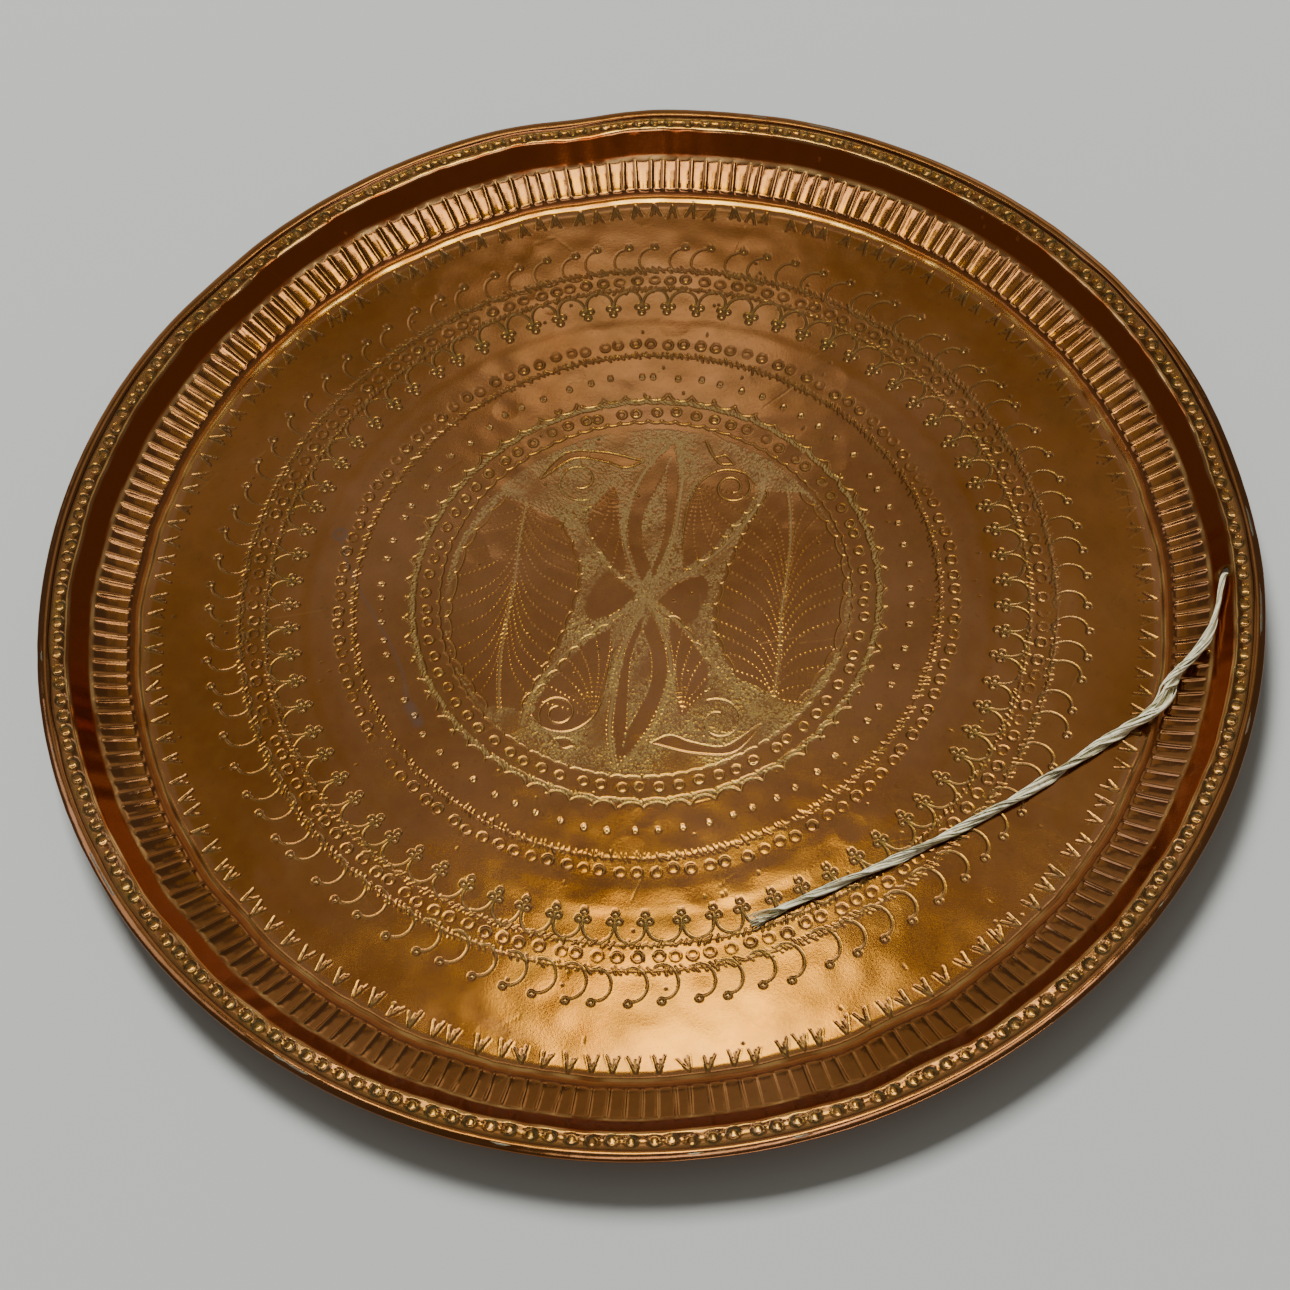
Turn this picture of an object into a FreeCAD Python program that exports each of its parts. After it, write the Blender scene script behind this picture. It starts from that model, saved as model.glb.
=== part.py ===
"""Hammered copper tray, 600 mm across: one raised copper sheet with a fluted band, a sloping wall,
a flange and an edge rolled over an iron wire, and a limp string that hangs from a hole in the wall.

Millimetres, +Z up. The origin is the middle of the underside of the floor, which is the face that
the tray stands on.
"""
import FreeCAD, Part
import math
import os

# ---- driving dimensions -------------------------------------------------------------------------
TRAY_RADIUS = 300.0          # outside of the rolled edge
SHEET = 1.2                  # thickness of the copper sheet
FLOOR_FLAT_RADIUS = 244.0    # the floor is level out to here
CREASE_RADIUS = 253.8        # raised crease that ends the floor
CREASE_RISE = 1.9            # the crease above the level floor
GROOVE_RADIUS = 256.6        # shallow groove between the crease and the flutes
GROOVE_RISE = 1.4
FLUTES_INNER_RADIUS = 259.0
FLUTES_INNER_RISE = 3.9
FLUTES_OUTER_RADIUS = 276.0
FLUTES_OUTER_RISE = 10.8
FLANGE_INNER_RADIUS = 285.6
FLANGE_INNER_RISE = 22.4
BEAD_RISE = 23.4             # middle of the rim wire above the top of the level floor
WIRE_RADIUS = 1.6            # iron wire inside the rolled edge
WIRE_CLEARANCE = 0.05        # between the wire and the copper wrapped round it
FOLD_END_ANGLE = 190.0       # where the wrapped edge stops, in degrees round the wire
BEND_RADIUS = 1.5            # middle of the sheet, at every hammered bend
FLOOR_BEND_RADIUS = 20.0     # the soft bend where the floor starts to rise

CORD_DIAMETER = 4.5
HOLE_DIAMETER = 5.8
HOLE_RADIUS = 282.0          # how far the cord's hole is from the tray's axis
HOLE_AZIMUTH = -6.4          # degrees from +X
KNOT_DIAMETER = 11.0
KNOT_LENGTH = 9.0
KNOT_EDGE = 3.0              # rounding of the knot's ends

# The cord's route, from the knot behind the wall to its loose end on the floor.
CORD_ROUTE = [
    (282.30, -31.60, 17.55),
    (276.40, -31.00, 22.45),
    (272.60, -37.20, 22.30),
    (273.20, -46.60, 18.00),
    (265.60, -66.00, 14.60),
    (251.00, -77.30, 10.60),
    (243.80, -84.60, 9.40),
    (240.20, -92.20, 8.20),
    (231.50, -98.80, 6.60),
    (219.50, -103.60, 4.80),
    (201.00, -113.20, 3.90),
    (175.50, -127.20, 3.80),
    (146.00, -141.60, 3.80),
    (104.40, -157.80, 3.80),
    (66.00, -170.20, 3.80),
    (31.30, -182.60, 3.80),
]
ARC_SHARE = 0.45             # of the shorter run, on each side of a corner of the route


# ---- paths of straight runs joined by tangent arcs ----------------------------------------------
def arc_radius(before, corner, after):
    """The radius that takes ARC_SHARE of the shorter run on each side of the corner."""
    run_in = corner.sub(before)
    run_out = after.sub(corner)
    shorter = min(run_in.Length, run_out.Length)
    return ARC_SHARE * shorter / math.tan(run_in.getAngle(run_out) / 2.0)


def rounded_path(points, radii):
    """Edges along the points, with an arc of the given radius at each inner point."""
    edges = []
    start = points[0]
    for before, corner, after, radius in zip(points, points[1:], points[2:], radii):
        toward = before.sub(corner).normalize()
        away = after.sub(corner).normalize()
        turn = math.pi - toward.getAngle(away)
        cut = radius * math.tan(turn / 2.0)
        arc_start = corner + toward * cut
        arc_end = corner + away * cut
        inward = (toward + away).normalize()
        arc_middle = corner + inward * (radius / math.cos(turn / 2.0) - radius)
        edges.append(Part.LineSegment(start, arc_start).toShape())
        edges.append(Part.Arc(arc_start, arc_middle, arc_end).toShape())
        start = arc_end
    edges.append(Part.LineSegment(start, points[-1]).toShape())
    return edges


# ---- tray body ----------------------------------------------------------------------------------
def section_point(radius, height):
    """A point of the tray's section, which lies in the XZ plane."""
    return FreeCAD.Vector(radius, 0.0, height)


def bead_centre():
    """Middle of the rim wire's section."""
    wrap_radius = WIRE_RADIUS + WIRE_CLEARANCE + SHEET
    return section_point(TRAY_RADIUS - wrap_radius, SHEET + BEAD_RISE)


def flange_end(flange_start, centre, wrap_middle):
    """Where the flange meets the wrap round the wire tangentially, below the wire."""
    span = centre.sub(flange_start)
    slope = math.atan2(span.z, span.x) - math.asin(wrap_middle / span.Length)
    angle = slope - math.pi / 2.0
    return centre + section_point(math.cos(angle), math.sin(angle)) * wrap_middle, angle


def sheet_middle_wire():
    """The middle of the copper sheet in section, from the axis to the end of the fold."""
    half = SHEET / 2.0
    centre = bead_centre()
    wrap_middle = WIRE_RADIUS + WIRE_CLEARANCE + half
    flange_start = section_point(FLANGE_INNER_RADIUS, FLANGE_INNER_RISE + half)
    tangent, first_angle = flange_end(flange_start, centre, wrap_middle)
    points = [
        section_point(0.0, half),
        section_point(FLOOR_FLAT_RADIUS, half),
        section_point(CREASE_RADIUS, CREASE_RISE + half),
        section_point(GROOVE_RADIUS, GROOVE_RISE + half),
        section_point(FLUTES_INNER_RADIUS, FLUTES_INNER_RISE + half),
        section_point(FLUTES_OUTER_RADIUS, FLUTES_OUTER_RISE + half),
        flange_start,
        tangent,
    ]
    radii = [FLOOR_BEND_RADIUS] + [BEND_RADIUS] * (len(points) - 3)
    last_angle = math.radians(FOLD_END_ANGLE)
    ends = []
    for angle in (first_angle, (first_angle + last_angle) / 2.0, last_angle):
        ends.append(centre + section_point(math.cos(angle), math.sin(angle)) * wrap_middle)
    return Part.Wire(rounded_path(points, radii) + [Part.Arc(*ends).toShape()])


def hole_frame():
    """The hole's middle on the inside of the wall, and the wall's normal into the tray."""
    slope = math.atan2(FLANGE_INNER_RISE - FLUTES_OUTER_RISE, FLANGE_INNER_RADIUS - FLUTES_OUTER_RADIUS)
    rise = FLUTES_OUTER_RISE + (HOLE_RADIUS - FLUTES_OUTER_RADIUS) * math.tan(slope)
    azimuth = math.radians(HOLE_AZIMUTH)
    outward = FreeCAD.Vector(math.cos(azimuth), math.sin(azimuth), 0.0)
    middle = outward * HOLE_RADIUS + FreeCAD.Vector(0.0, 0.0, SHEET + rise)
    normal = outward * -math.sin(slope) + FreeCAD.Vector(0.0, 0.0, math.cos(slope))
    return middle, normal


def tray_body():
    """The whole tray, hammered from one sheet, with the hole that the cord goes through."""
    band = sheet_middle_wire().makeOffset2D(SHEET / 2.0, 0, False, False, False)
    section = Part.Face(band)
    right_of_axis = Part.makePlane(
        2.0 * TRAY_RADIUS, 2.0 * TRAY_RADIUS, section_point(0.0, -TRAY_RADIUS), FreeCAD.Vector(0, -1, 0),
        FreeCAD.Vector(1, 0, 0))
    section = section.common(right_of_axis).Faces[0]
    body = section.revolve(FreeCAD.Vector(0, 0, 0), FreeCAD.Vector(0, 0, 1), 360.0)
    middle, normal = hole_frame()
    drill_length = 8.0 * SHEET
    drill = Part.makeCylinder(
        HOLE_DIAMETER / 2.0, drill_length, middle - normal * (drill_length / 2.0), normal)
    return body.cut(drill).Solids[0]


# ---- rim wire -----------------------------------------------------------------------------------
def rim_wire():
    """The iron wire ring that the copper edge is rolled over."""
    centre = bead_centre()
    return Part.makeTorus(centre.x, WIRE_RADIUS, FreeCAD.Vector(0, 0, centre.z), FreeCAD.Vector(0, 0, 1))


# ---- cord and knot ------------------------------------------------------------------------------
def hanging_cord():
    """The limp string along its route, as a tube of straight runs and tangent arcs."""
    points = [FreeCAD.Vector(*point) for point in CORD_ROUTE]
    radii = [arc_radius(*three) for three in zip(points, points[1:], points[2:])]
    path = Part.Wire(rounded_path(points, radii))
    first_run = points[1].sub(points[0])
    circle = Part.makeCircle(CORD_DIAMETER / 2.0, points[0], first_run)
    tube = path.makePipeShell([Part.Wire(circle)], True, False)
    expected = math.pi * CORD_DIAMETER ** 2 / 4.0 * path.Length
    print("cord length", round(path.Length, 1), "volume over expected", round(tube.Volume / expected, 4))
    print("cord radii", [round(radius, 1) for radius in radii])
    runs = [round(end.sub(start).Length, 1) for start, end in zip(points, points[1:])]
    print("cord runs", runs)
    return tube.Solids[0] if tube.Solids else Part.makeSolid(tube)


def cord_knot():
    """The stopper knot behind the wall, a rounded barrel whose face the cord comes out of."""
    start = FreeCAD.Vector(*CORD_ROUTE[0])
    away = start.sub(FreeCAD.Vector(*CORD_ROUTE[1])).normalize()
    barrel = Part.makeCylinder(KNOT_DIAMETER / 2.0, KNOT_LENGTH, start, away)
    rings = [edge for edge in barrel.Edges if edge.Closed and isinstance(edge.Curve, Part.Circle)]
    return barrel.makeFillet(KNOT_EDGE, rings).Solids[0]


# ---- the assembly -------------------------------------------------------------------------------
PIECES = {
    "tray_body": tray_body,
    "rim_wire": rim_wire,
    "hanging_cord": hanging_cord,
    "cord_knot": cord_knot,
}

os.makedirs("parts", exist_ok=True)
for name, make in PIECES.items():
    shape = make()
    box = shape.BoundBox
    print(name, shape.ShapeType, "valid", shape.isValid(), "solids", len(shape.Solids),
          "volume", round(shape.Volume, 1),
          "box", [round(v, 2) for v in (box.XMin, box.YMin, box.ZMin, box.XMax, box.YMax, box.ZMax)])
    shape.exportStep("parts/" + name + ".step")
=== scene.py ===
"""Looks of the hammered copper tray: the sheet with its relief and engraving, the string, its knot."""
import math
import bpy
import numpy as np
from mathutils import Matrix, Vector


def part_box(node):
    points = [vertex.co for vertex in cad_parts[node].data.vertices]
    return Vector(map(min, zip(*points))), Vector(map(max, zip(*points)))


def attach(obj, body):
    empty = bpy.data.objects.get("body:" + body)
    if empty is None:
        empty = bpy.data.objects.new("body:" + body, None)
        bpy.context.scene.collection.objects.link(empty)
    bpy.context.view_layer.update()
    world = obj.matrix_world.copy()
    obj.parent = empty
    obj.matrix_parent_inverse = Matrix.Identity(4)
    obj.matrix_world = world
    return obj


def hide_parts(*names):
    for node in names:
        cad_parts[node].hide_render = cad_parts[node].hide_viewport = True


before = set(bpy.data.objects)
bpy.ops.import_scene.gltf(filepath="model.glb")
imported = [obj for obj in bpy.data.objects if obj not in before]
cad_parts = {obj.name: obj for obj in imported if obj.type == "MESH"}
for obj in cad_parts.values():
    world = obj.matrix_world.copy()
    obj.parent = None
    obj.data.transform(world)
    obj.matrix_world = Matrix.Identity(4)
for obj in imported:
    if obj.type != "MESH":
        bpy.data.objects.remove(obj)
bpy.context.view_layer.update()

MM = 0.001
RIM = 300.0                  # outer radius of the tray, mm: every ornament radius is a share of it
FINE = 2880                  # points in the finest rows round the tray
SHEET = 1.2
rng = np.random.default_rng(1907)

# The tray's upper surface in section: radius and height in mm, from the middle to the flange's end.
SECTION = [
    (0.0, 1.2), (249.5, 1.2), (252.5, 1.55), (253.9, 2.1), (254.8, 2.6), (255.4, 2.7), (256.6, 2.5),
    (258.8, 5.1), (264.0, 6.9), (270.0, 9.3), (276.0, 12.1), (285.6, 23.6), (290.0, 23.3),
    (293.2, 24.0), (320.0, 24.0),
]
FLOOR_EDGE, FLUTES_IN, FLUTES_OUT, FLANGE_IN, FLANGE_OUT = 253.8, 257.8, 276.0, 285.6, 293.2
FLUTES = 222
BEAD_RADIUS, BEAD_HEIGHT, BEAD_THICK = 297.15, 24.6, 2.85
WIRE_RADIUS = 1.45
LIP_SHADOW = 291.6           # where the dark line under the lip starts on the flange
LIP_ANGLE = 188.0            # where the rolled edge stops on top of the flange
BEAD_LAST_ANGLE = -80.0      # where the bead runs into the underside of the flange


# ---- small helpers ----
def smooth(low, high, value):
    """0 below low, 1 above high, smooth between."""
    t = np.clip((value - low) / (high - low), 0.0, 1.0)
    return t * t * (3.0 - 2.0 * t)


def band(low, high, soft, value):
    """1 between low and high, falling to 0 over soft on each side."""
    return smooth(low - soft, low, value) * (1.0 - smooth(high, high + soft, value))


def turned(degrees, start):
    """How far a heading is turned from a start, between -180 and 180 degrees."""
    return (degrees - start + 180.0) % 360.0 - 180.0


def hump(degrees, centre, width):
    """1 at an azimuth round the tray, falling away on both sides like a bell."""
    return np.exp(-(turned(degrees, centre) / width) ** 2)


def waves(x, y, shortest, longest, count):
    """Soft random undulation of unit size over the plane, in the units of x and y."""
    total = np.zeros_like(x)
    for _ in range(count):
        wavelength = rng.uniform(shortest, longest)
        heading = rng.uniform(0.0, 2.0 * math.pi)
        phase = rng.uniform(0.0, 2.0 * math.pi)
        k = 2.0 * math.pi / wavelength
        total += np.cos(k * (x * math.cos(heading) + y * math.sin(heading)) + phase)
    return total / math.sqrt(count / 2.0) / 2.0


def ring_waves(azimuth, slowest, fastest, count):
    """Soft random variation of unit size round the tray."""
    total = np.zeros_like(azimuth)
    for _ in range(count):
        order = rng.integers(slowest, fastest + 1)
        total += np.cos(order * azimuth + rng.uniform(0.0, 2.0 * math.pi))
    return total / math.sqrt(count / 2.0) / 2.0


# ---- the engraver's plate ----
class Plate:
    """A drawing board over the tray, in mm, that holds what the chisel and punches do to the sheet.

    cut is depth below the surface, bulge is height above it, shine is burnished metal, soot is dark patina,
    matt is stippled ground and stain is tarnish. On the tray, shine also takes painted highlights on the
    crests, and soot also takes painted shade in the groove, at the wall's foot and under the lip.
    """
    STEP = 0.25

    def __init__(self, reach):
        self.reach = reach
        self.size = int(2.0 * reach / self.STEP) + 3
        self.layers = {}
        for name in ("cut", "bulge", "shine", "soot", "matt", "stain"):
            self.layers[name] = np.zeros((self.size, self.size), np.float32)

    def cells(self, x, y):
        """Column and row of a place on the board, with fractions."""
        return (x + self.reach) / self.STEP + 1.0, (y + self.reach) / self.STEP + 1.0

    def dabs(self, x, y, radius, **amounts):
        """Round marks of one radius, each the deeper of what is there and its own parabola."""
        x, y = np.atleast_1d(x), np.atleast_1d(y)
        u, v = self.cells(x, y)
        half = int(math.ceil(radius / self.STEP)) + 1
        span = np.arange(-half, half + 1)
        column = np.round(u)[:, None, None].astype(int) + span[None, None, :]
        row = np.round(v)[:, None, None].astype(int) + span[None, :, None]
        distance = np.hypot(column - u[:, None, None], row - v[:, None, None]) * self.STEP
        fall = np.clip(1.0 - (distance / radius) ** 2, 0.0, 1.0)
        column = np.clip(column, 0, self.size - 1) + np.zeros_like(row)
        row = np.clip(row, 0, self.size - 1) + np.zeros_like(column)
        for name, amount in amounts.items():
            amount = np.broadcast_to(np.asarray(amount, float), x.shape)[:, None, None]
            np.maximum.at(self.layers[name], (row, column), fall * amount)

    def line(self, points, radius, dash=0.0, gap=0.0, **amounts):
        """A cut line through the points, or pricked dashes of that length and gap."""
        points = np.asarray(points, float)
        pieces = np.hypot(*np.diff(points, axis=0).T)
        along = np.concatenate([[0.0], np.cumsum(pieces)])
        if along[-1] < 1e-6:
            return
        at = np.arange(0.0, along[-1], 0.4 * radius)
        if dash > 0.0:
            at = at[(at % (dash + gap)) < dash]
        x = np.interp(at, along, points[:, 0])
        y = np.interp(at, along, points[:, 1])
        self.dabs(x, y, radius, **amounts)

    def ring(self, centre, ring_radius, radius, start=0.0, sweep=360.0, **amounts):
        """A punched ring, or an arc of one, in degrees."""
        count = max(int(ring_radius * math.radians(abs(sweep)) / (0.4 * radius)), 6)
        angle = np.radians(start + np.linspace(0.0, sweep, count))
        self.dabs(centre[0] + ring_radius * np.cos(angle), centre[1] + ring_radius * np.sin(angle),
                  radius, **amounts)

    def spread(self, source, target, reach):
        """A soft halo of one layer, made by averaging over squares three times."""
        width = int(reach / self.STEP)
        halo = self.layers[source]
        for _ in range(3):
            for axis in (0, 1):
                total = np.cumsum(halo, axis=axis, dtype=np.float64)
                halo = (np.roll(total, -width, axis) - np.roll(total, width + 1, axis)) / (2 * width + 1)
        self.layers[target] = np.clip(halo, 0.0, 1.0).astype(np.float32)

    def sample(self, name, x, y):
        """A layer's value at some places."""
        u, v = self.cells(x, y)
        column = np.clip(u.astype(int), 0, self.size - 2)
        row = np.clip(v.astype(int), 0, self.size - 2)
        du, dv = u - column, v - row
        layer = self.layers[name]
        low = layer[row, column] * (1 - du) + layer[row, column + 1] * du
        high = layer[row + 1, column] * (1 - du) + layer[row + 1, column + 1] * du
        return low * (1 - dv) + high * dv


plate = Plate(302.0)


class Spot:
    """A place on an engraved ring with its own axes: out is away from the middle, side is anticlockwise."""
    CENTRE = (-0.8, 3.0)     # the engraved rings sit a little off the tray's own middle

    def __init__(self, share, degrees, turn=0.0, centred=True):
        self.degrees = degrees
        azimuth = math.radians(degrees)
        middle = self.CENTRE if centred else (0.0, 0.0)
        self.x = middle[0] + share * RIM * math.cos(azimuth)
        self.y = middle[1] + share * RIM * math.sin(azimuth)
        self.centre = (self.x, self.y)
        facing = azimuth + math.radians(turn)
        self.out = (math.cos(facing), math.sin(facing))
        self.side = (-math.sin(facing), math.cos(facing))

    def at(self, out, side):
        """A point some way out and to the side of the spot, in mm."""
        return (self.x + out * self.out[0] + side * self.side[0],
                self.y + out * self.out[1] + side * self.side[1])

    def heading(self):
        """The spot's outward direction, in degrees."""
        return math.degrees(math.atan2(self.out[1], self.out[0]))


def around(count, wander):
    """Azimuths in degrees of a hand-spaced row, whose marks stray by a share of their spacing."""
    pitch = 360.0 / count
    return np.arange(count) * pitch + rng.normal(0.0, wander * pitch, count) * 0.5


def spots(row, wander, stray=0.0, lean=0.0, centred=True):
    """The hand-placed spots of an engraved row, one after another.

    They wander by a share of their spacing along the row, stray by a share of the outer radius in and
    out, and lean by some degrees.
    """
    share, count = row
    for degrees in around(count, wander):
        out = share + rng.normal(0.0, stray) if stray else share
        turn = rng.normal(0.0, lean) if lean else 0.0
        yield Spot(out, degrees, turn, centred)


# ---- the ornament, from the rim inwards ----
# The engraved rows: where each lies, as a share of the outer radius, and how many marks it has.
PUNCHES = (0.9665, 202)
ARROWS = (0.833, 146)
HOOKS = (0.7, 90)
OUTER_ROPE, MIDDLE_ROPE, INNER_ROPE = (0.6785, 420), (0.6355, 390), (0.488, 330)
OUTER_CRESCENTS, INNER_CRESCENTS = (0.6555, 138), (0.513, 112)
ARCHES = (0.605, 76)
DOTS = (0.4405, 70)
BORDER_OUTER, BORDER_INNER, BORDER_HATCH = (0.3905, 64), (0.3845, 64), (0.3885, 620)
CIRCLES = (0.3655, 71)
MEDALLION_EDGE = (0.3435, 90)
MEDALLION_RADIUS = 101.5     # how far the stippled ground reaches, in mm
CHISEL = 0.5                 # half the width of a fine chisel's cut, in mm


def offset_curve(curve, distance):
    """The curve moved sideways, to its left when positive."""
    curve = np.asarray(curve, float)
    heading = np.gradient(curve, axis=0)
    heading /= np.maximum(np.hypot(*heading.T), 1e-9)[:, None]
    return curve + np.stack([-heading[:, 1], heading[:, 0]], 1) * distance


def chased(points, firm=1.0):
    """A chased line: a groove with dark metal in it and a bright burr along its left side."""
    plate.line(points, 0.44, cut=0.24 * firm, soot=0.65 * firm)
    plate.line(offset_curve(points, 0.418), CHISEL, bulge=0.06 * firm, shine=0.22 * firm)


def flange_punches():
    """The row of toothed ring punches between the wall and the rolled edge."""
    share, count = PUNCHES
    for degrees in around(count, 0.12):
        pushed = share + 0.8 * far_push(math.radians(degrees)) / RIM
        spot = Spot(pushed + rng.normal(0.0, 0.0011), degrees, centred=False)
        firm = rng.uniform(0.45, 1.0)
        lean = rng.uniform(0.0, 360.0)
        plate.ring(spot.centre, 2.4, 0.55, cut=0.32 * firm, soot=0.5 * firm)
        teeth = np.radians(lean + np.arange(11) * 32.7)
        plate.dabs(spot.x + 3.0 * np.cos(teeth), spot.y + 3.0 * np.sin(teeth), 0.55,
                   cut=0.34 * firm, soot=0.85)
        plate.ring(spot.centre, 2.6, 0.7, lean, 160.0, cut=0.5 * firm, soot=0.9)
        plate.dabs(*spot.centre, 1.9, bulge=0.25, shine=0.3)


def arrow_marks():
    """The row of stamped arrowheads along the edge of the floor, points outward."""
    for spot in spots(ARROWS, 0.2, 0.0018, 8.0, centred=False):
        firm = rng.uniform(0.5, 1.0) * (1.0 - 0.6 * hump(spot.degrees, 5.0, 32.0))
        tip = spot.at(0.6, 0.0)
        for side in (-1.0, 1.0):
            reach = rng.uniform(6.6, 8.6)
            spread = rng.uniform(2.1, 3.0)
            middle = spot.at(0.6 - 0.5 * reach, side * 0.5 * spread)
            far_end = spot.at(0.6 - reach, side * spread)
            plate.line([tip, far_end], CHISEL, cut=0.3 * firm, soot=0.5 * firm)
            plate.line([tip, middle], 0.75, cut=0.44 * firm, soot=0.65 * firm)
            burr = [spot.at(0.4, side * 0.9), spot.at(0.6 - reach, side * (spread + 0.9))]
            plate.line(burr, CHISEL, bulge=0.08, shine=0.2)
        if rng.uniform() < 0.7:
            plate.line([spot.at(-1.6, 0.2), spot.at(-5.6, 0.7)], 0.55, cut=0.26 * firm, soot=0.45)


def hooks():
    """The outermost engraved row: springing arcs that end in small ring dots."""
    for spot in spots(HOOKS, 0.14, 0.0016, 4.0):
        firm = 1.0 - 0.55 * hump(spot.degrees, 95.0, 42.0)
        swing = np.radians(np.linspace(-118.0, 88.0, 30))
        tall = rng.uniform(7.9, 8.8)
        arc = [spot.at(tall * math.sin(a), 0.84 * tall * math.cos(a) - 2.0) for a in swing]
        chased(arc, firm)
        ring_dot(spot.at(tall + 0.9, -3.4))


def rope(row, length, slant, soot=0.5):
    """A border of short slanting chisel strokes along a faint line."""
    for spot in spots(row, 0.4, 0.0012, 10.0):
        half = length * rng.uniform(0.32, 0.6)
        plate.line([spot.at(-half, -slant * half), spot.at(half, slant * half)], CHISEL,
                   cut=rng.uniform(0.1, 0.3), soot=soot * rng.uniform(0.4, 1.0))
        if rng.uniform() < 0.35:
            plate.dabs(*spot.at(0.6 * half, 0.5), 0.6, bulge=0.12, shine=0.7)
    ring = [Spot(row[0], d).at(rng.normal(0.0, 0.25), 0.0) for d in np.linspace(0, 360, 481)]
    plate.line(ring, CHISEL, dash=4.0, gap=0.8, cut=0.16, soot=0.5 * soot)


def crescents(row, size):
    """A row of half-struck ring punches, each deeper on one side."""
    for spot in spots(row, 0.16, 0.0014):
        firm = rng.uniform(0.3, 1.0)
        lean = spot.heading() + rng.choice([90.0, 70.0, 110.0, 250.0]) + rng.normal(0.0, 30.0)
        plate.ring(spot.centre, size, 0.6, cut=0.15 * firm, soot=0.2)
        plate.ring(spot.centre, size, 0.8, lean, rng.uniform(120.0, 230.0), cut=0.27 * firm,
                   soot=0.5 * firm)
        plate.dabs(*spot.centre, size * 0.6, bulge=0.04)


def ring_dot(centre):
    """A small punched ring with a bright middle."""
    plate.ring(centre, 1.5, 0.45, cut=0.28, soot=0.65)
    plate.dabs(*centre, 1.0, bulge=0.12, shine=0.4)


def arches_and_trefoils():
    """Deep arches hanging from the inner rope, with three ring dots where they meet."""
    half_pitch = math.pi / ARCHES[1] * 0.62 * RIM
    for spot in spots(ARCHES, 0.1, lean=3.0):
        depth = rng.uniform(7.6, 9.2)
        for side in (-1.0, 1.0):
            turn = np.linspace(0.0, math.pi / 2.0, 12)
            arch = [spot.at(depth * math.sin(a), side * (half_pitch - (half_pitch - 0.5) * math.cos(a)))
                    for a in turn]
            chased([spot.at(-1.6, side * 0.2)] + arch)
            ring_dot(spot.at(-2.6, side * 1.95))
        ring_dot(spot.at(-6.3, 0.2))


def spaced_dots():
    """Small bright ring dots in the plain band round the medallion."""
    for spot in spots(DOTS, 0.24, 0.0018):
        plate.ring(spot.centre, 1.0, CHISEL, cut=0.32, shine=rng.uniform(0.5, 1.0))
        plate.dabs(*spot.centre, CHISEL, cut=0.25, soot=0.9)


def cusped_ring(share, count, height, **amounts):
    """A line of shallow arches whose cusps point outward."""
    pitch = 360.0 / count
    for degrees in around(count, 0.16):
        tall = height * rng.uniform(0.6, 1.25)
        wave = []
        for t in np.linspace(0.0, 1.0, 9):
            lift = tall * (1.0 - math.sin(math.pi * t) ** 0.6)
            wave.append(Spot(share + lift / RIM, degrees + t * pitch).at(0.0, 0.0))
        plate.line(wave, 0.55, **amounts)


def wavy_border():
    """The cusped double border of the medallion, hatched between its lines."""
    cusped_ring(*BORDER_OUTER, 3.4, cut=0.24, soot=0.45, shine=0.3)
    cusped_ring(*BORDER_INNER, 1.6, cut=0.16, soot=0.35, shine=0.2)
    share, count = BORDER_HATCH
    for degrees in around(count, 0.6):
        spot = Spot(share + rng.uniform(-0.003, 0.003), degrees)
        plate.line([spot.at(-0.8, -0.6), spot.at(0.8, 0.6)], 0.45, cut=0.14, matt=0.9)


def border_circles():
    """The row of double circles inside the wavy border."""
    for spot in spots(CIRCLES, 0.2, 0.0014):
        lean = spot.heading() + rng.normal(180.0, 60.0)
        firm = rng.uniform(0.3, 1.0)
        plate.ring(spot.centre, 2.3, 0.55, cut=0.16, soot=0.4)
        plate.ring(spot.centre, 1.9, 0.6, lean, rng.uniform(120.0, 220.0), cut=0.22 * firm,
                   shine=0.6 * firm)


# ---- the medallion ----
def bent(points, steps=10):
    """A smooth curve through a few points."""
    points = np.asarray(points, float)
    padded = np.vstack([2 * points[0] - points[1], points, 2 * points[-1] - points[-2]])
    curve = []
    for a, b, c, d in zip(padded, padded[1:], padded[2:], padded[3:]):
        for t in np.linspace(0.0, 1.0, steps, endpoint=False):
            curve.append(0.5 * (2 * b + (c - a) * t + (2 * a - 5 * b + 4 * c - d) * t * t
                                + (3 * b - a - 3 * c + d) * t ** 3))
    curve.append(points[-1])
    return np.asarray(curve)


def pricked(curve, shine):
    """A dashed line of chisel pricks."""
    plate.line(curve, 0.45, dash=0.5, gap=2.1, cut=0.13, shine=0.6 * shine)


def double_pricked(curve, apart):
    """Two pricked lines side by side with matt metal between them."""
    for aside in (-0.5, 0.5):
        pricked(offset_curve(curve, aside * apart), rng.uniform(0.45, 0.7))
    plate.line(curve, 0.4 * apart, matt=0.45)


def engraved(curve, shine):
    """A continuous cut line."""
    plate.line(curve, CHISEL, cut=0.18, soot=0.2, shine=0.5 * shine)


def along(curve, share):
    """The point at a share of the curve's points."""
    return curve[int(round(share * (len(curve) - 1)))]


def scalloped(curve, count, height):
    """A row of small arches along a curve, bulging to its left."""
    for number in range(count):
        start, end = along(curve, number / count), along(curve, (number + 1) / count)
        sideways = np.array([start[1] - end[1], end[0] - start[0]]) / max(math.dist(start, end), 1e-9)
        turn = np.linspace(0.0, math.pi, 10)
        share = 0.5 - 0.5 * np.cos(turn)
        arch = start + np.outer(share, end - start) + np.outer(height * np.sin(turn), sideways)
        engraved(arch, rng.uniform(0.35, 0.8))


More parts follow.
